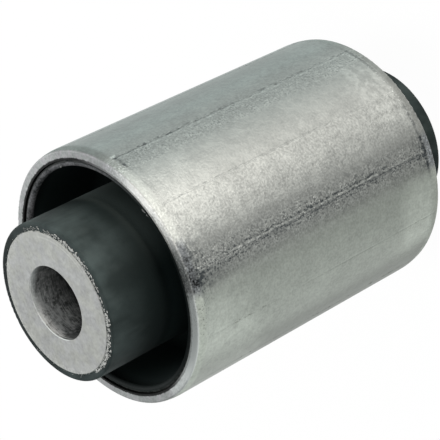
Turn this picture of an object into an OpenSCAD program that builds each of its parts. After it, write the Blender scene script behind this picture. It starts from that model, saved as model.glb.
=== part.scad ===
// Axle beam bushing. A steel outer sleeve and a thick inner sleeve are held apart by one
// rubber moulding that is bonded to both. It stands on one end of the inner sleeve: its
// axis is Z, and the origin is the centre of the lower end face.

/* [Inner sleeve] */
// Diameter of the bolt bore
bore_d = 12; // [10:0.1:16]
// Outside diameter of the inner sleeve
inner_d = 24; // [20:0.5:28]
// Length of the inner sleeve, which is the length over all
inner_len = 72.8; // [60:0.1:90]
// Chamfer at each mouth of the bore
bore_chamfer = 0.1; // [0.05:0.05:1]
// Chamfer on the outer edge of each end face
face_chamfer = 0.5; // [0.3:0.1:1]

/* [Outer sleeve] */
// Outside diameter of the outer sleeve, a press fit in the axle beam's eye
sleeve_d = 42; // [38:0.5:50]
// Wall thickness of the outer sleeve
sleeve_wall = 1.75; // [1.5:0.05:2.5]
// Length of the outer sleeve
sleeve_len = 53.5; // [42:0.5:58]
// Length that is rolled in at each end, which leads the sleeve into the eye
roll_len = 1.8; // [1:0.1:3]
// How far the end is rolled in
roll_drop = 0.25; // [0.1:0.05:0.6]
// Rounding between the rolled-in end and the end face
edge_r = 0.3; // [0.1:0.05:0.5]

/* [Swaging lines] */
// Number of jaws that closed the sleeve, and of the lines between them
jaw_count = 12; // [6:1:18]
// Width of the line left between two jaws
line_w = 0.4; // [0.2:0.05:1]
// Depth of that line
line_depth = 0.03; // [0.02:0.01:0.2]
// Plain length between the ends of the lines and a rolled-in end
line_set = 0.2; // [0.1:0.1:2]

/* [Rubber] */
// Thickness of the coat on the inner sleeve
coat_t = 0.9; // [0.5:0.1:2]
// Set-back of the coat's ends from the inner sleeve's end faces
coat_set = 0.15; // [0.05:0.05:0.25]
// Rounding of the coat's outer edge
coat_edge_r = 0.4; // [0.1:0.05:0.45]
// Thickness of the skin inside the outer sleeve, at the sleeve's end
skin_t = 1; // [0.6:0.1:2]
// How far the bead that ends the skin stands in from it
bead_proud = 0.15; // [0.05:0.05:0.5]
// Set-back of the bead from the sleeve's end
bead_set = 0.2; // [0:0.05:1]
// Depth of the ring-shaped hollow below the sleeve's end
hollow_depth = 15; // [8:0.5:19]
// Draft of the hollow's outer wall
draft = 2; // [0:0.5:4]

/* [Hidden] */
$fn = 128;

bore_r = bore_d / 2;
inner_r = inner_d / 2;
sleeve_r = sleeve_d / 2;
seat_r = sleeve_r - sleeve_wall;
coat_r = inner_r + coat_t;
skin_r = seat_r - skin_t;
bead_r = (skin_t + bead_proud) / 2;

// The coat fills the chamfer of the inner sleeve up to this radius
fill_r = inner_r - face_chamfer + coat_set;

// Heights above the middle of the bushing, which is the same above and below it
inner_end = inner_len / 2;
sleeve_end = sleeve_len / 2;
coat_end = inner_end - coat_set;
bead_z = sleeve_end - bead_set - bead_r;

// The rolled-in end follows a circle that touches the sleeve's outside
roll_r = (roll_len * roll_len + roll_drop * roll_drop) / (2 * roll_drop);
roll_x = sleeve_r - roll_r;
roll_z = sleeve_end - roll_len;

// The edge rounding is a circle that touches the rolled-in end and the end face
edge_angle = asin((roll_len - edge_r) / (roll_r - edge_r));
edge_x = roll_x + (roll_r - edge_r) * cos(edge_angle);
edge_z = sleeve_end - edge_r;

// The hollow's floor is a circle that touches the coat and the drafted wall
floor_room = skin_r - coat_r - hollow_depth * tan(draft);
floor_r = floor_room / (1 + 1 / cos(draft) - tan(draft));
floor_x = coat_r + floor_r;
floor_z = sleeve_end - hollow_depth + floor_r;

// A line between two jaws is cut by a thin round bar laid along the sleeve
bar_r = (line_w * line_w / 4 + line_depth * line_depth) / (2 * line_depth);
bar_x = sleeve_r - line_depth + bar_r;
bar_len = sleeve_len - 2 * (roll_len + line_set);

// How far a cutting shape runs past the face that it opens
overrun = 1;

// The outline of the upper half, given from the axis outwards, closed by its mirror image
function both_ends(upper) =
    concat([for (p = upper) [p[0], -p[1]]], [for (i = [len(upper) - 1 : -1 : 0]) upper[i]]);

// What the child draws above the middle, drawn below it too
module at_both_ends() {
    for (side = [0, 1])
        mirror([0, side])
            children();
}

// A section about the middle of the bushing, turned into a ring that stands on the origin
module turned() {
    translate([0, 0, inner_end])
        rotate_extrude()
            children();
}

// What rolling in takes off the corner of the sleeve's section
module rolled_corner() {
    translate([roll_x, roll_z])
        difference() {
            square(roll_r + overrun);
            circle(roll_r);
        }
}

// What the rounding takes off between the rolled-in end and the end face
module edge_corner() {
    reach = edge_r + overrun;
    translate([edge_x, edge_z])
        difference() {
            polygon([
                [0, 0],
                [reach * cos(edge_angle), reach * sin(edge_angle)],
                [reach, reach],
                [0, reach]
            ]);
            circle(edge_r);
        }
}

module sleeve_section() {
    difference() {
        polygon(both_ends([
            [seat_r, sleeve_end],
            [sleeve_r, sleeve_end]
        ]));
        at_both_ends() {
            rolled_corner();
            edge_corner();
        }
    }
}

module swaging_lines() {
    pitch = 360 / jaw_count;
    for (jaw = [0 : jaw_count - 1])
        rotate(pitch * (jaw + 0.5))
            translate([bar_x, 0, inner_end])
                cylinder(r = bar_r, h = bar_len, center = true);
}

// The corner that the rounding takes off the coat's end
module coat_corner() {
    translate([coat_r - coat_edge_r, coat_end - coat_edge_r])
        difference() {
            square(coat_edge_r + overrun);
            circle(coat_edge_r);
        }
}

// The ring-shaped hollow between the coat and the skin, open at the sleeve's end
module hollow_section() {
    mouth_z = sleeve_end + overrun;
    polygon([
        [coat_r, mouth_z],
        [coat_r, floor_z],
        [floor_x, floor_z],
        [floor_x + floor_r * cos(draft), floor_z - floor_r * sin(draft)],
        [skin_r + overrun * tan(draft), mouth_z]
    ]);
    translate([floor_x, floor_z])
        circle(floor_r);
}

module rubber_section() {
    difference() {
        polygon(both_ends([
            [inner_r, inner_end - face_chamfer],
            [fill_r, coat_end],
            [coat_r, coat_end],
            [coat_r, bead_z],
            [seat_r, bead_z]
        ]));
        at_both_ends() {
            coat_corner();
            hollow_section();
        }
    }
    for (end = [-1, 1])
        translate([seat_r - bead_r, end * bead_z])
            circle(bead_r);
}

module outer_sleeve() {
    color("silver")
        difference() {
            turned()
                sleeve_section();
            swaging_lines();
        }
}

module rubber_body() {
    color("darkslategray")
        turned()
            rubber_section();
}

module inner_sleeve() {
    color("lightgray")
        turned()
            polygon(both_ends([
                [bore_r, inner_end - bore_chamfer],
                [bore_r + bore_chamfer, inner_end],
                [inner_r - face_chamfer, inner_end],
                [inner_r, inner_end - face_chamfer]
            ]));
}

outer_sleeve();
rubber_body();
inner_sleeve();
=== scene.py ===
# %% [markdown]
# # Axle beam bushing
#
# The real part is a steel sleeve, a rubber moulding and a thick light-metal sleeve, bonded into one.
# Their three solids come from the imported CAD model. They are loaded first and are never moved, because
# every finish and every small piece below takes its place from them.

# %% Load the solids
import math
import random

import bmesh
import bpy
from mathutils import Matrix, Vector


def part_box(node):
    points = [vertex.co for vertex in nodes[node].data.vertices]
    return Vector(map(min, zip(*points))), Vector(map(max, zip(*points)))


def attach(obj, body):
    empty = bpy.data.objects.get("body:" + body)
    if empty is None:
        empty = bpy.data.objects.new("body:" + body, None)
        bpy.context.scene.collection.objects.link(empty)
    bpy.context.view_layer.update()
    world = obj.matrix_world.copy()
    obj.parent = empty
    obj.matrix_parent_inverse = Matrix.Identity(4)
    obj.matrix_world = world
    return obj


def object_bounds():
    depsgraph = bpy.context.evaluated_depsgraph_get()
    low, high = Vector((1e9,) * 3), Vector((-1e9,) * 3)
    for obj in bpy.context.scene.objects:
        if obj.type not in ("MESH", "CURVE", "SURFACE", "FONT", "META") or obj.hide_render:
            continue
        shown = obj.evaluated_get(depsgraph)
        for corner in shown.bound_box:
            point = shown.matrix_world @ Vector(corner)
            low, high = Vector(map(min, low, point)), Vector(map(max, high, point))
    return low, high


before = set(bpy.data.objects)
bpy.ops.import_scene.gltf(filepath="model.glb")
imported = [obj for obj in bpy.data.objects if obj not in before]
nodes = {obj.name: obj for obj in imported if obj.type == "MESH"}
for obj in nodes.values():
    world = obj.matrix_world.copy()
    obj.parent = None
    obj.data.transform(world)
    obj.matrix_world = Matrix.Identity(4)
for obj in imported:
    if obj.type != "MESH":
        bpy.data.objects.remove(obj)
cad_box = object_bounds()
MM = 0.001
for name, node in nodes.items():
    low, high = (tuple(round(c / MM, 2) for c in corner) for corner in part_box(name))
    print(f"{name}: {len(node.data.polygons)} faces, from {low} to {high} mm")

# %% [markdown]
# ## Camera
#
# The photograph shows the bushing lying on its side, seen over one end through a long lens. The solid
# stands on end, so the camera is rolled and the part isn't turned. Its place is given as a photographer
# would say it: a height above the horizon, a roll, and a distance to a point on the bushing's axis.

# %% Camera
ELEVATION = math.radians(36.28)
TURN = math.radians(-1.1)
ROLL = math.radians(-116.87)
DISTANCE = 313.8 * MM
AIM = Vector((0, 0, 38.66 * MM))
LENS = 161.06
SENSOR = 36
NEAREST = 10 * MM

scene = bpy.context.scene
camera_data = bpy.data.cameras.new("camera")
camera_data.lens = LENS
camera_data.sensor_width = SENSOR
camera_data.clip_start = NEAREST
camera = bpy.data.objects.new("camera", camera_data)
scene.collection.objects.link(camera)
camera.matrix_world = (
    Matrix.Translation(AIM)
    @ Matrix.Rotation(TURN, 4, "Z")
    @ Matrix.Rotation(math.pi / 2 - ELEVATION, 4, "X")
    @ Matrix.Rotation(ROLL, 4, "Z")
    @ Matrix.Translation((0, 0, DISTANCE))
)
scene.camera = camera
print("camera at", [round(c / MM, 1) for c in camera.matrix_world.translation], "mm")

# %% [markdown]
# ## Shader sums
#
# A finish is a graph of nodes, and a graph is easier to read as arithmetic. This class wraps one socket:
# a sum on it adds a Math node, and any other node comes from its one method, which sets the node's
# settings before its sockets.

# %% Shader sums
class Shade:
    """A socket of a material. Arithmetic on it adds Math nodes to that material."""

    def __init__(self, tree, socket=None):
        self.tree, self.socket = tree, socket

    def node(self, kind, settings=None, inputs=None, output=0):
        made = self.tree.nodes.new("ShaderNode" + kind)
        for key, value in (settings or {}).items():
            setattr(made, key, value)
        for key, value in (inputs or {}).items():
            if isinstance(value, Shade):
                self.tree.links.new(value.socket, made.inputs[key])
            else:
                made.inputs[key].default_value = value
        return Shade(self.tree, made.outputs[output])

    def sum(self, operation, *terms):
        return self.node("Math", {"operation": operation}, dict(enumerate(terms)))

    def __add__(self, other):
        return self.sum("ADD", self, other)

    def __radd__(self, other):
        return self.sum("ADD", other, self)

    def __sub__(self, other):
        return self.sum("SUBTRACT", self, other)

    def __rsub__(self, other):
        return self.sum("SUBTRACT", other, self)

    def __mul__(self, other):
        return self.sum("MULTIPLY", self, other)

    def __rmul__(self, other):
        return self.sum("MULTIPLY", other, self)

    def __truediv__(self, other):
        return self.sum("DIVIDE", self, other)

    def __abs__(self):
        return self.sum("ABSOLUTE", self)

    def between(self, low, high):
        """0 at low and 1 at high, with a soft start and end. Low may be the larger."""
        limits = {"Value": self, "From Min": low, "From Max": high}
        return self.node("MapRange", {"interpolation_type": "SMOOTHSTEP"}, limits)

    def inside(self, low, high, soft):
        """1 between low and high and 0 outside them. Each end fades over the width soft."""
        return self.between(low - soft / 2, low + soft / 2) * self.between(high + soft / 2, high - soft / 2)

    def mix(self, a, b):
        """The colour a where this is 0 and b where it is 1."""
        return self.node("Mix", {"data_type": "RGBA"}, {0: self, 6: a, 7: b}, 2)


print("shader sums ready")

# %% [markdown]
# Every finish needs the same few things: a material that knows its Object coordinates, noise of a given
# size, a way to fill the shader's sockets, and a bump. Blender counts in metres, so the coordinates are
# scaled here once, and all the sums that follow are in millimetres.

# %% Helpers for a finish
def new_finish(name):
    """A material with its shader, its Object coordinates in millimetres, and a start for sums."""
    material = bpy.data.materials.new(name)
    material.use_nodes = True
    tree = material.node_tree
    start = Shade(tree)
    place = start.node("TexCoord", output="Object")
    place = start.node("VectorMath", {"operation": "SCALE"}, {0: place, "Scale": 1 / MM})
    return material, tree.nodes["Principled BSDF"], place


def grain(place, size, detail=2.0, stretch=(1, 1, 1), shift=0.0):
    """Noise from 0 to 1 whose patches are about size millimetres across."""
    moved = place.node("Mapping", inputs={"Vector": place, "Scale": stretch, "Location": (shift,) * 3})
    return place.node("TexNoise", inputs={"Vector": moved, "Scale": 1 / size, "Detail": detail})


def feed(shader, **sockets):
    """Links sums to a shader's sockets, and sets plain numbers and colours on them."""
    for key, value in sockets.items():
        socket = shader.inputs[key.replace("_", " ")]
        if isinstance(value, Shade):
            value.tree.links.new(value.socket, socket)
        else:
            socket.default_value = value


def bump(height, depth):
    """A Normal from a height of 0 to 1, which stands for a depth in millimetres."""
    return height.node("Bump", inputs={"Height": height, "Distance": depth * MM})


def show(material, shader):
    """Makes a sum of shaders the one that the material shows."""
    tree = material.node_tree
    tree.links.new(shader.socket, tree.nodes["Material Output"].inputs["Surface"])


def dress(name, finish):
    """Puts a finish on one of the solids."""
    mesh = nodes[name].data
    mesh.materials.clear()
    mesh.materials.append(finish)
    print(f"{name}: {finish.name}, {len(finish.node_tree.nodes)} nodes")


def tell(material, part):
    """Prints how many nodes a material has, once a part of it is made."""
    print(f"{material.name}: {len(material.node_tree.nodes)} nodes with {part}")


def split(place):
    """The three coordinates of a place, and its distance from the bushing's axis."""
    x, y, z = (place.node("SeparateXYZ", inputs={0: place}, output=i) for i in range(3))
    return x, y, z, x.sum("SQRT", x * x + y * y)


print("finish helpers ready")

# %% [markdown]
# ## Floor and light
#
# The photograph has a plain white ground. A white floor that is only lit would show every soft shadow, so
# this one also glows for the camera. A tube mirrors the floor that it stands on all round, and a floor as
# bright as that would make the steel look flat, so in mirrors the floor glows much less.

# %% Floor
FLOOR_HALF = 2.0
SEEN_GLOW = 0.97
MIRRORED_GLOW = 0.1

floor_mesh = bpy.data.meshes.new("floor")
bm = bmesh.new()
bmesh.ops.create_grid(bm, x_segments=1, y_segments=1, size=FLOOR_HALF)
bm.to_mesh(floor_mesh)
bm.free()
floor = bpy.data.objects.new("floor", floor_mesh)
scene.collection.objects.link(floor)

paper, paper_shader, spot = new_finish("white_paper")
feed(paper_shader, Base_Color=(0.9, 0.9, 0.9, 1), Roughness=1.0, Specular_IOR_Level=0.0)
seen, mirrored, through = (spot.node("LightPath", output=f"Is {kind} Ray")
                           for kind in ("Camera", "Glossy", "Transmission"))
share = seen * SEEN_GLOW + (mirrored + through) * MIRRORED_GLOW
lit = Shade(paper.node_tree, paper_shader.outputs[0])
glow = spot.node("Emission", inputs={"Color": (1, 1, 1, 1), "Strength": 1.0})
blend = spot.node("MixShader", inputs={0: share, 1: lit, 2: glow})
show(paper, blend)
floor_mesh.materials.append(paper)
print("floor", 2 * FLOOR_HALF, "m square")

# %% [markdown]
# The bands on the steel come from three things that any studio has: a lamp behind the part, whose soft
# shadow in front is mirrored as the dark band, a low lamp in front that draws the bright band, and even
# light from the room. A weak third lamp fills the side that would be too dark.

# %% Light
scene.view_settings.view_transform = "Standard"
ROOM_LIGHT = 0.58

world = bpy.data.worlds.new("room")
scene.world = world
world.use_nodes = True
room = world.node_tree.nodes["Background"]
room.inputs["Color"].default_value = (0.97, 1, 0.99, 1)
room.inputs["Strength"].default_value = ROOM_LIGHT


def lamp(name, bearing, height, distance, size, watts, colour=(1, 1, 1)):
    """A soft box that faces the bushing. Bearing and height are degrees, distance and size metres."""
    data = bpy.data.lights.new(name, "AREA")
    data.shape = "RECTANGLE"
    data.size, data.size_y = size
    data.energy = watts
    data.color = colour
    obj = bpy.data.objects.new(name, data)
    scene.collection.objects.link(obj)
    turn, rise = math.radians(bearing), math.radians(height)
    way = Vector((math.cos(turn) * math.cos(rise), math.sin(turn) * math.cos(rise), math.sin(rise)))
    obj.location = AIM + way * distance
    obj.rotation_euler = way.to_track_quat("Z", "Y").to_euler()
    print(f"{name}: {watts} W at {[round(c, 2) for c in obj.location]} m")


lamp("behind", 60, 40, 0.7, (0.25, 0.25), 3.0)
lamp("strip", -64, 6, 0.4, (0.31, 0.1), 1.55, (1.0, 0.94, 0.89))
lamp("fill", 178, 10, 0.5, (0.3, 0.1), 0.4)

# %% [markdown]
# ## Sleeve steel
#
# The outer sleeve is a drawn steel tube that twelve jaws have squeezed shut. Each line between two jaws is
# a groove of the solid, and the dirt and the torn grain beside it are too fine to model, so they are
# painted. To paint along a line, the shader first has to know where it is: this cell turns a point's
# coordinates into a bearing round the axis, a distance aside from the nearest line, and one from the ends.
# Bearings are in degrees, and heights and distances in millimetres.

# %% Where a point is on the sleeve
SLEEVE_LOW, SLEEVE_HIGH = (corner[2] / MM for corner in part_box("outer_sleeve"))
SLEEVE_R = 21.0
JAWS = 12
PITCH = 360 / JAWS
# Bearings of the four lines that the photograph shows
SEAM, DARK_LINE, PALE_LINE, FAINT_LINE = -105, -45, -75, -135

steel, steel_shader, spot = new_finish("sleeve_steel")
x, y, z, radius = split(spot)
# Counted from -270 to 90 degrees, so that the jump lies where no mark is painted
bearing = x.sum("ARCTAN2", x, 0 - y) * math.degrees(1) - 90
nearest = (x.sum("ROUND", bearing / PITCH - 0.5) + 0.5) * PITCH
aside = (bearing - nearest) * (math.radians(1) * SLEEVE_R)
from_low = z - SLEEVE_LOW
from_end = x.sum("MINIMUM", from_low, SLEEVE_HIGH - z)
upper_half = z.between(30, 42)


def at_line(line):
    """1 on the strip of sleeve whose jaw line has this bearing, and 0 elsewhere."""
    return nearest.sum("COMPARE", nearest, line, 1.0)


seam, dark_line, pale_line, faint_line = map(at_line, (SEAM, DARK_LINE, PALE_LINE, FAINT_LINE))
print(f"sleeve from {SLEEVE_LOW:.2f} to {SLEEVE_HIGH:.2f} mm, {JAWS} lines")

# %% [markdown]
# Noise of a few sizes is all that the steel's surface needs. The fine ones are the grain of the zinc, the
# middle ones its spangle, and a noise that is stretched along the tube is the trace of drawing it.

# %% Grain of the steel
fine = grain(spot, 0.38, 3)
sharp = fine.between(0.3, 0.7)
mottle = grain(spot, 1.1, 3, shift=27)
cloud = grain(spot, 3.5, 4, shift=7)
drawn = grain(spot, 1.1, 2, (1, 1, 0.06), 3)
pits = grain(spot, 0.3, 3, shift=31)
pit = pits.between(0.5, 0.64)
shine = pits.between(0.48, 0.36)
tell(steel, "its grain")

# %% [markdown]
# The jaw that closed last left the seam: a rough strip with two dark rows in it and a bright one between
# them. The other lines are thinner. The bright rows, there and beside some other lines, are painted
# highlights of small ridges. Every row wanders a little and breaks up into flecks, because a line that is
# straight and even looks drawn on.

# %% Jaw lines
wander = (grain(spot, 1.2, 3, shift=13) - 0.5) * 0.5
fleck = grain(spot, 0.42, 3, (1, 1, 0.5), 11).between(0.4, 0.62)
gap = grain(spot, 2.5, 2, (1, 1, 0.4), 19).between(0.34, 0.5)
broken = grain(spot, 0.8, 2, (1, 1, 0.7), 43).between(0.42, 0.56)
midway = from_end.between(5, 12)
far_part, near_part = z.between(44, 32), z.between(18, 32)


def row(offset, width):
    """1 along a thin row that lies aside of a jaw line by an offset in millimetres."""
    return abs(aside - offset + wander).between(width, width * 0.25)


strip = seam * aside.inside(-2.8, 2.8, 1.6)
core = seam * abs(aside - 0.2).between(3.2, 0.4) * (0.3 + mottle.between(0.38, 0.62) * 0.7)
smear = (seam * upper_half * aside.inside(-3.2, -0.4, 1.2) * from_end.between(11, 2)
         * mottle.between(0.36, 0.6))
lee = dark_line * aside.inside(-3.6, 0.2, 1.4) * (0.3 + mottle.between(0.38, 0.62) * 0.7)
plain = 1 - seam - dark_line - pale_line - faint_line
rows = (seam * row(-0.13, 0.36) * (0.25 + fleck * 0.5) * z.between(66, 42)
        + seam * row(0.68, 0.32) * (0.2 + fleck * 0.8) * midway * 0.75
        + seam * row(-0.62, 0.24) * fleck * gap * 0.4
        + dark_line * row(0, 0.5) * fleck * (0.1 + broken * 0.4 + z.between(42, 56) * 0.22)
        + pale_line * row(0.1, 0.18) * gap * midway * near_part * 0.1
        + (faint_line * far_part + plain) * row(0, 0.15) * gap * (0.14 + plain * fleck * 0.3))
# The light rows are painted highlights of the ridges along the lines.
lights = (seam * row(0.27, 0.22) * (0.2 + gap * 0.45)
          + pale_line * row(-0.22, 0.24) * fleck * midway * near_part * (0.3 + broken * 0.9)
          + dark_line * row(-0.45, 0.34) * fleck * 1.4
          + faint_line * row(0.25, 0.16) * far_part * gap * 0.3)
tell(steel, "its jaw lines")

# %% [markdown]
# The jaws stopped short of both ends. Where they stopped there is a broken dark edge, with painted shade
# along part of the lower one and a painted highlight by the upper tick, and at the ends of the seam a dirty
# patch, which is wider at the upper end. Such marks could be painted by hand on an image, but sums of the
# same coordinates stay sharp at any size and need no unwrapping.

# %% Marks at the ends
lower_half = 1 - upper_half
stop = abs(from_end - 1.8 + wander * 0.8).between(0.45, 0.1)
stop_dirt = (upper_half * bearing.inside(-53, -45, 2) * 0.7
             + lower_half * (bearing.inside(-113, -82, 8) * (0.2 + gap * 0.25) + strip * 0.4 + 0.06)
             + gap * 0.06)
# A painted shade along the lower stop line, where the rolled end turns away.
edge = lower_half * stop * bearing.inside(-64, -43, 8) * 0.34
# The dirty patch at the ends of the seam. On the rolled ends this mask also sets painted shade.
soiled_and_shaded = upper_half * bearing.inside(-114, -92, 6) + lower_half * strip
patch = (soiled_and_shaded * from_end.between(5.0, 1.4) * (upper_half + lower_half * from_end.between(1.0, 1.7))
         * grain(spot, 0.7, 3, shift=37).between(0.44, 0.56))
dots = upper_half * bearing.inside(-134, -111, 8) * from_end.between(4.5, 1) * pits.between(0.6, 0.66)
nick = lower_half * stop * bearing.inside(-96, -55, 4) * pits.between(0.42, 0.36)
# A painted highlight beside the tick at the upper end of the dark line.
glint = (upper_half * bearing.inside(-45.4, -43.2, 0.8) * from_end.inside(1.3, 2.3, 0.5)
         * fine.between(0.4, 0.55))
dark = (rows * from_end.between(0.8, 2.4) + pit * (strip * 0.2 + core * 0.48 + lee * 0.36)
        + stop * stop_dirt * (0.3 + fleck * 0.7) + edge + patch * 0.55 + smear * 0.42 + dots * 0.5)
tell(steel, "the marks at its ends")

# %% [markdown]
# The steel is painted lighter in zones near its ends and on its lower side, as painted highlights, and
# darker along both edges of the tube and by the seam, as painted shade that deepens the mirrored dark band.
# Such zones have no sharp border, so each one fades over a few degrees, and a slow noise shifts where it
# begins.

# %% Painted highlights and shade on the steel
low_side = bearing.inside(-147, -117, 14)
drift = (cloud - 0.5) * 8
near_zone = (z - bearing / 6 + drift).between(72, 79)
far_zone = (from_low + drift).between(11, 5)
# Painted highlights by bearing and height, and painted shade along the edges and by the seam.
painted_highlight = (low_side * (0.06 + near_zone * 0.3 + far_zone * 0.46) + bearing.inside(-63, -50, 8) * 0.06
          + bearing.inside(-92, -42, 8) * far_zone * 0.14 + bearing.inside(-34, 6, 10) * far_zone * 0.1
          + bearing.inside(-92, -55, 10) * z.between(49, 55) * 0.1)
low_edge = bearing.between(-240, -175) * bearing.between(-146, -160)
painted_side_shade = bearing.inside(-28, 12, 14) * 0.18 + low_edge * (1 - near_zone) * 0.3
painted_seam_shade = aside.inside(-3.0, -0.7, 0.8) * 0.14 + aside.inside(-0.7, 3.6, 2) * 0.14
shade = 1 + painted_highlight - painted_side_shade - seam * painted_seam_shade
tell(steel, "its polished and dull zones")

# %% [markdown]
# The tone is the sum of the grains, and some of them are stronger in places: a crisp speckle by the seam,
# brushed clouds along the top, scuffs that run round near the upper end, and frost near the lower one. The
# tint is painted by bearing, from a cool grey to a warmer one, for the colour of the light that each side
# mirrors, and the dirt covers both.

# %% Tone and tint of the steel
BLACK = (0, 0, 0, 1)

crisp = bearing.inside(-115, -75, 4) - bearing.inside(-74, -57, 6) * 1.5
brushed = bearing.inside(-50, 10, 12)
spangle = bearing.inside(-115, -50, 15) * upper_half * from_end.between(8, 1)
round_grain = grain(spot, 0.6, 3, (0.3, 0.3, 1), 51)
scuffed = bearing.inside(-168, -113, 12) + bearing.inside(-92, -50, 10) * 0.8
scuff = scuffed * z.between(46, 55) * (round_grain - 0.5)
frost = bearing.inside(-88, -55, 8) * from_low.inside(2.2, 8, 3) * (mottle.between(0.4, 0.62) - 0.5)
tone = (0.26 + cloud * 0.17 + mottle * 0.17 + sharp * 0.1 + drawn * 0.05
        + (sharp + mottle - 1) * crisp * 0.04 + (cloud + mottle - 1) * brushed * 0.04
        + frost * 0.09 + scuff * 0.12 + lights * 0.12
        + shine * (strip * 0.05 + core * 0.14 + lee * 0.14 + spangle * 0.05) - pit * spangle * 0.03
        + (nick + glint) * 0.4 + soiled_and_shaded * from_end.between(4, 1) * shine * 0.14)
# A painted reflection tint by bearing, cooler on the upper side and warmer on the lower side.
cool_reflection_tint = bearing.inside(-60, 12, 34) * 0.6 + bearing.inside(-38, 14, 12) * 0.4
tint = cool_reflection_tint.mix((0.632, 0.656, 0.629, 1), (0.563, 0.656, 0.634, 1))
tint = bearing.inside(-186, -112, 14).mix(tint, (0.61, 0.656, 0.6, 1))
bright = (tone * shade).mix(BLACK, tint)
colour = dark.sum("MINIMUM", dark, 0.9).mix(bright, (0.039, 0.048, 0.054, 1))
tell(steel, "its tone and tint")

# %% [markdown]
# Drawing the tube left a satin finish that smears a highlight along it, which is what the anisotropic
# setting does. It is the same all over, so it is set on the shader's own sockets.

# %% Drawn steel shader
rough = 0.34 + cloud * 0.1 + mottle * 0.06 + sharp * 0.04 + dark * 0.15
height = fine + mottle * 1.2 - dark * 0.5 + shine * core * 0.4
feed(steel_shader, Base_Color=colour, Metallic=1.0, Roughness=rough, Normal=bump(height, 0.04),
     Anisotropic=0.6, Anisotropic_Rotation=0.25)
tell(steel, "its drawn finish")

# %% [markdown]
# The rolled-in ends and the end faces aren't drawn, and they are rough. Their tone is painted by bearing, as
# light falls on them: a painted highlight where the bright band meets them, painted light on the lower side,
# and painted shade along the top and by the seam. A ragged painted shade lines their inner edge, in the gap
# to the rubber. So they get a plain rough shader of their own, and a Mix Shader joins the two.

# %% Ends of the sleeve, with painted light and shade
flat = from_end.between(0.3, 0.08)
gleam = bearing.between(-46, -70) * bearing.between(-103, -85)
painted_light_side = bearing.inside(-174, -112, 12)
# Painted light and shade by bearing, on the rolled ends and on the end faces.
rolled = 0.66 - bearing.inside(-44, 12, 7) * 0.2 + gleam * 0.36 + painted_light_side * 0.3
rolled = upper_half * rolled + lower_half * (0.62 + bearing.inside(-200, -112, 10) * 0.2)
faced = 0.62 + cloud * 0.2 + gleam * 0.47 + painted_light_side * 0.34 - pits.between(0.58, 0.68) * painted_light_side * 0.3
faced = faced - bearing.inside(-46, -6, 14) * 0.12 + bearing.inside(-158, -118, 16) * 0.55
# By the seam, the rolled ends get painted shade.
end_shade = rolled * (1 - flat) + faced * flat - soiled_and_shaded * (0.34 - flat * 0.2) * (0.3 + upper_half * 0.7)
# A ragged painted shade in the gap between steel and rubber.
painted_gap_shade = (radius + (mottle + fine - 1) * 0.25).between(19.7, 19.5)
end_shade = end_shade * (1 - painted_gap_shade * (0.94 - bearing.inside(-165, -35, 20) * 0.5))
lilac = mottle.between(0.44, 0.6) * (1 - painted_light_side) * (1 - bearing.inside(-110, -48, 10) * 0.8)
face_tint = lilac.mix((0.573, 0.597, 0.592, 1), (0.592, 0.59, 0.606, 1))
roll_tint = soiled_and_shaded.mix(tint, (0.56, 0.6, 0.625, 1))
end_tint = flat.mix(roll_tint, gleam.mix(face_tint, (0.86, 0.86, 0.835, 1)))
end_tone = ((tone - dark * (0.4 - flat * 0.25)) * end_shade * 1.5).mix(BLACK, end_tint)
rough_ends = spot.node("BsdfPrincipled", inputs={"Base Color": end_tone, "Metallic": 1.0, "Roughness": 0.7,
                                           "Normal": bump(fine, 0.03)})
drawn_steel = Shade(steel.node_tree, steel_shader.outputs[0])
both = spot.node("MixShader", inputs={0: from_end.between(2.0, 1.0), 1: drawn_steel, 2: rough_ends})
show(steel, both)
dress("outer_sleeve", steel)

# %% [markdown]
# ## Black rubber
#
# The moulding is matt black rubber with a cloudy bloom on the coat of the inner sleeve. The coat is painted
# darker towards the hollow, as painted shade, with painted light by the sleeve's mouth on the lit side, and
# deeper in the hollow it is painted a little lighter again. A second material could do that, but then its
# border would show. So all of it is colour on one shader, found from the height, the radius and the bearing.

# %% Bloom of the rubber
TOP = cad_box[1][2] / MM

rubber, rubber_shader, spot = new_finish("black_rubber")
x, y, z, radius = split(spot)
from_end = x.sum("MINIMUM", z - SLEEVE_LOW, SLEEVE_HIGH - z)
cloud = grain(spot, 5.0, 4)
fine = grain(spot, 0.35, 3)
streak = grain(spot, 3.0, 3, (1, 1, 0.25), 5)
bearing = x.sum("ARCTAN2", y, x) * math.degrees(1)
# Painted shade: the coat darkens towards the hollow, less on the lit side.
coat_depth_shade = (from_end - bearing.inside(-85, -25, 40) * 3.5).between(-0.5, -12)
bloom = (0.34 + (cloud * 0.6 + streak * 0.4).between(0.36, 0.64) * 0.66) * coat_depth_shade
# Painted shade just under the top on one side, and a darker bloom towards the lower end.
shaded = z.between(TOP - 0.5, TOP - 0.2) * bearing.inside(10, 125, 30)
bloom = bloom * (1 - shaded * 0.7) * (1 - z.between(12, 8) * 0.3)
smudge = grain(spot, 3.2, 3, (1, 1, 0.6), 61).between(0.42, 0.76) * from_end.between(-1, -6)
# Deeper in the hollow the colour is painted lighter, which lifts the shade there.
hollow = from_end.between(1.0, 3).mix((0.004, 0.0075, 0.0073, 1), (0.013, 0.021, 0.0205, 1))
colour = bloom.mix(hollow, (0.039, 0.053, 0.0525, 1))
colour = (smudge * 0.18).mix(colour, (0.08, 0.1, 0.097, 1))
# Painted light on the coat by the sleeve's mouth, on the lit side, lifting the shadow of the rim.
painted_mouth_light = radius.between(14, 13.2) * bearing.inside(-85, 5, 40) * from_end.inside(0.9, 9, 3.4)
colour = (painted_mouth_light * 0.95).mix(colour, (0.08, 0.1, 0.095, 1))
tell(rubber, "its bloom")

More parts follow.
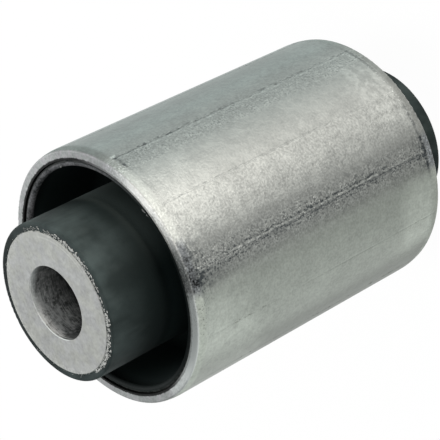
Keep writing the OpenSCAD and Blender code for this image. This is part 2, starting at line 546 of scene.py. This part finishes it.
# %% [markdown]
# Where the moulding's lip was trimmed, at the ends of the sleeve, a bead is left. It is lighter on one side,
# with dust and a painted sheen, and a crease parts it from the steel, which is painted lighter to lift its
# shadow. Both are found from the radius, near the sleeve's end.

# %% Bead and rubber shader
at_end = from_end.between(1.2, 0.7)
notch = grain(spot, 1.0, 3, shift=21)
on_bead = (radius + notch * 0.5).inside(18.25, 19.05, 0.25) * at_end
# Dust and painted sheen on one side of the bead.
dust_and_sheen_side = 0.01 + bearing.inside(-50, 75, 40) * 0.9
dust_and_sheen = (0.15 + fine.between(0.36, 0.62) * 0.4 + cloud.between(0.4, 0.6) * 0.45) * on_bead * dust_and_sheen_side
# The crease is painted lighter, which lifts its shadow.
painted_crease_light = radius.between(18.7, 19.0) * at_end * notch.between(0.35, 0.6)
colour = (painted_crease_light * 0.7).mix(colour, (0.06, 0.063, 0.06, 1))
colour = dust_and_sheen.mix(colour, (0.2, 0.2, 0.21, 1))
feed(rubber_shader, Base_Color=colour, Roughness=0.62 + cloud * 0.2, Normal=bump(fine, 0.03),
     Specular_IOR_Level=0.12)
dress("rubber_body", rubber)

# %% [markdown]
# ## Sawn aluminium
#
# The inner sleeve is a thick tube, cut off square. One material covers all of it, so the shader has to know
# which faces it is on. The distance from the axis tells the bore from the end faces, and no face has to be
# given a material of its own by hand.

# %% Where a point is on the inner sleeve
BORE_R = 6.0

alloy, alloy_shader, spot = new_finish("sawn_aluminium")
x, y, z, radius = split(spot)
bearing = x.sum("ARCTAN2", y, x) * math.degrees(1)
from_mouth = x.sum("MINIMUM", z, TOP - z)
in_bore = radius.between(BORE_R + 0.08, BORE_R + 0.03)
print(f"inner sleeve {TOP:.2f} mm long, bore {2 * BORE_R} mm")

# %% [markdown]
# The cut ends are pale and softly blotched, and a little grainy near the edge. One side is a little darker,
# and a few turned rings get a painted highlight on the other side. They are a noise that only depends on the
# radius, so they run round the axis.

# %% End faces
blotch = grain(spot, 1.6, 4)
mottle = grain(spot, 0.5, 3, shift=4)
tint = (grain(spot, 2.2, 3, shift=8) - radius * 0.03).between(0.1, 0.36)
rim = radius.between(9.9, 11.3) * grain(spot, 0.34, 2, shift=14).between(0.44, 0.6)
ring_highlights = spot.node("TexNoise", {"noise_dimensions": "1D"}, {"W": radius, "Scale": 3.2, "Detail": 1.0})
ring_highlights = ring_highlights.between(0.5, 0.7) * bearing.inside(-80, -25, 30) * radius.between(9.6, 10.8)
# The rings add a painted highlight on one side.
tone = (0.32 + blotch * 0.4 + mottle * 0.46 - bearing.inside(40, 140, 60) * 0.07
        + rim * bearing.inside(10, 165, 40) * 0.18 + ring_highlights * 0.16)
face = tone.mix(BLACK, tint.mix((0.461, 0.468, 0.441, 1), (0.454, 0.46, 0.458, 1)))
tell(alloy, "its end faces")

# %% [markdown]
# The bore was never finished. It is stained and scratched round, which a noise does that is squeezed along
# the axis. It is dull and not shiny, and its wall is painted darker further in, as painted shade, and
# lighter on the lit side, as painted light. The edge of its mouth gets a painted highlight.

# %% Bore
stain = grain(spot, 1.3, 4, shift=9).between(0.3, 0.7)
scratch = grain(spot, 0.2, 3, (0.16, 0.16, 1), 6).between(0.42, 0.66)
shiny_edge = from_mouth.between(0.3, 0.15) + from_mouth.inside(0.5, 0.68, 0.1) * 0.5
# A painted highlight on the edge of the mouth, brightest on one side.
painted_lip_highlight = bearing.inside(92, 168, 24) * shiny_edge
painted_lip_light = bearing.inside(5, 100, 40) * from_mouth.between(1.6, 0.05)
# Painted shade further in, and painted light on the lit side.
bore_depth_shade = from_mouth.between(1, 8)
lit_side = 0.18 + bearing.inside(30, 145, 50) * 0.66 + bearing.inside(78, 138, 40) * 1.1
wall = 0.12 + stain * 0.4 + scratch * 0.4 + mottle.between(0.5, 0.66) * 0.42
wall = wall * (1 - bore_depth_shade * 0.82) * lit_side
wall = wall.mix((0.016, 0.018, 0.018, 1), (0.62, 0.62, 0.615, 1))
wall = painted_lip_highlight.sum("MAXIMUM", painted_lip_highlight * 0.9, painted_lip_light * 0.45).mix(wall, (0.81, 0.86, 0.85, 1))
tell(alloy, "its bore")

# %% [markdown]
# The two finishes are mixed by colour and not by shader, because both are the same metal. A sawn face is
# too rough to mirror anything, and so is the stained bore, so the shader is mostly dull with a little metal.

# %% Aluminium shader
feed(alloy_shader, Base_Color=in_bore.mix(face, wall), Metallic=0.2, Roughness=0.55 + mottle * 0.08,
     Normal=bump(mottle, 0.02))
dress("inner_sleeve", alloy)

# %% [markdown]
# ## Torn flash
#
# Where the mould closed on the ends of the inner sleeve, it left a film of rubber, and tearing that off
# left ragged chips round the rim. Torn rubber is paler than moulded rubber, so it has a finish of its own.

# %% Torn flash finish
torn, torn_shader, spot = new_finish("torn_flash")
fine = grain(spot, 0.3, 2)
feed(torn_shader, Base_Color=fine.between(0.35, 0.65).mix((0.17, 0.176, 0.17, 1), (0.5, 0.505, 0.485, 1)),
     Roughness=0.55 + fine * 0.3, Normal=bump(fine, 0.02))
tell(torn, "its grain")

# %% [markdown]
# A chip is a ball of twenty faces, squashed and pulled out of shape, so that two thousand of them stay
# cheap. Its place goes into its mesh, and the object of the piece stays at the origin, as the solids do.

# %% A chip and a finished piece
TEAR = 0.15


def add_chip(bm, radius, bearing, level, size, draw):
    """A torn chip at a place round the axis. Size is along the radius, round the axis and up, in mm."""
    turned = Matrix.Rotation(math.radians(bearing), 4, "Z")
    where = turned @ Matrix.Translation(Vector((radius, 0, level)) * MM)
    where = where @ Matrix.Diagonal((*(Vector(size) * MM), 1))
    ball = bmesh.ops.create_icosphere(bm, subdivisions=1, radius=0.5, matrix=where)
    for v in ball["verts"]:
        v.co += turned @ Vector([draw.uniform(-TEAR, TEAR) * measure * MM for measure in size])


def finish_piece(name, bm, finish):
    """Turns a bmesh into a piece that rides on the bushing."""
    bmesh.ops.recalc_face_normals(bm, faces=bm.faces)
    mesh = bpy.data.meshes.new(name)
    bm.to_mesh(mesh)
    bm.free()
    mesh.materials.append(finish)
    piece = bpy.data.objects.new(name, mesh)
    scene.collection.objects.link(piece)
    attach(piece, "root")
    print(f"{name}: {len(mesh.polygons)} faces")


print("a chip is torn by up to", TEAR, "of its size")

# %% [markdown]
# The film tore unevenly. On one side it came away clean, and on the other it left a dense ragged edge. So
# the upper rim is cut into zones, each with its own crowd of chips, and the lower one has an even crowd. The
# chips lie just inside the end faces, so that the part is no longer than its solids.

# %% Flash round the inner sleeve
CHIP_SINK = 0.1
FLASH_SPREAD = 0.2
LOWER_CHIPS = 260
LOWER_FLASH_R = 12.1
# Bearings in degrees, chips to the degree, length of a chip, and the radius it sits at
PALE_ZONES = [
    (-42, -5, 1.4, 0.2, 11.9),
    (-60, -34, 1.1, 0.36, 11.85),
    (-86, -50, 1.7, 0.62, 11.88),
    (-86, -42, 0.8, 0.35, 12.2),
    (-118, -82, 1.0, 0.4, 11.95),
    (-175, -114, 2.8, 0.44, 11.85),
    (-160, -110, 0.8, 0.5, 12.15),
    (-5, 185, 0.45, 0.22, 11.6),
]

draw = random.Random(5)
bm = bmesh.new()
for low, high, density, length, seat in PALE_ZONES:
    for _ in range(int((high - low) * density)):
        size = (length * draw.uniform(0.3, 0.8), length * draw.uniform(0.4, 1.2), draw.uniform(0.06, 0.12))
        add_chip(bm, draw.gauss(seat, FLASH_SPREAD), draw.uniform(low, high), TOP - CHIP_SINK, size, draw)
finish_piece("face_flash_upper", bm, torn)

bm = bmesh.new()
for _ in range(LOWER_CHIPS):
    size = (draw.uniform(0.1, 0.25), draw.uniform(0.15, 0.5), draw.uniform(0.06, 0.12))
    add_chip(bm, draw.gauss(LOWER_FLASH_R, FLASH_SPREAD), draw.uniform(0, 360), CHIP_SINK, size, draw)
finish_piece("face_flash_lower", bm, torn)

# %% [markdown]
# Black crumbs of the same film still stick to the edge of the metal, so that the edge isn't a clean circle.
# They are chips too, in the colour of the rubber.

# %% Crumbs at the edge of the end faces
CRUMBS = 420
CRUMB_R, CRUMB_SPREAD = 11.5, 0.15

for name, level in (("black_crumbs_upper", TOP - CHIP_SINK), ("black_crumbs_lower", CHIP_SINK)):
    bm = bmesh.new()
    for _ in range(CRUMBS):
        size = (draw.uniform(0.1, 0.3), draw.uniform(0.15, 0.6), draw.uniform(0.1, 0.14))
        add_chip(bm, draw.gauss(CRUMB_R, CRUMB_SPREAD), draw.uniform(0, 360), level, size, draw)
    finish_piece(name, bm, rubber)

# %% [markdown]
# The lip that ends the skin was trimmed with a knife, which missed a few tags. On the upper bead each one
# has its own place, and on the lower bead, which the photograph doesn't show, they are scattered.

# %% Tags left on the bead
# Bearing in degrees and length of each tag on the upper bead
BEAD_TAGS = [(-74, 0.5), (-72, 0.6), (-71, 0.3), (-10, 0.35)]
TAG_CHIPS = 4
TAG_R, TAG_SINK = 18.28, 0.36
LOWER_TAGS = 40
LOWER_TAG_R, LOWER_TAG_SINK = 18.6, 0.3

bm = bmesh.new()
for angle, length in BEAD_TAGS:
    for _ in range(TAG_CHIPS):
        size = (draw.uniform(0.15, 0.25), length * draw.uniform(0.5, 1.1), draw.uniform(0.15, 0.25))
        seat = draw.gauss(TAG_R, 0.06)
        add_chip(bm, seat, angle + draw.uniform(-0.7, 0.7), SLEEVE_HIGH - TAG_SINK, size, draw)
for _ in range(LOWER_TAGS):
    size = (draw.uniform(0.1, 0.2), draw.uniform(0.15, 0.4), draw.uniform(0.12, 0.2))
    seat = draw.gauss(LOWER_TAG_R, 0.12)
    add_chip(bm, seat, draw.uniform(0, 360), SLEEVE_LOW + LOWER_TAG_SINK, size, draw)
finish_piece("bead_tags", bm, torn)

# %% [markdown]
# The jaws pinched up small burrs along their lines, most of them at the seam. They are real pieces, not
# paint, so they catch the light and throw small shadows.

# %% Burrs along the jaw lines
SEAM_BURRS, LINE_BURRS = 110, 20
BURR_MARGIN = 2.5

bm = bmesh.new()
for jaw in range(JAWS):
    line = PITCH * (jaw + 0.5)
    is_seam = line == SEAM % 360
    for _ in range(SEAM_BURRS if is_seam else LINE_BURRS):
        size = (draw.uniform(0.03, 0.07), draw.uniform(0.08, 0.18), draw.uniform(0.3, 0.9))
        offset = draw.uniform(0.05, 0.5) if is_seam else draw.uniform(-0.3, 0.3)
        level = draw.uniform(SLEEVE_LOW + BURR_MARGIN, SLEEVE_HIGH - BURR_MARGIN)
        add_chip(bm, SLEEVE_R, line + math.degrees(offset / SLEEVE_R), level, size, draw)
finish_piece("jaw_burrs", bm, steel)
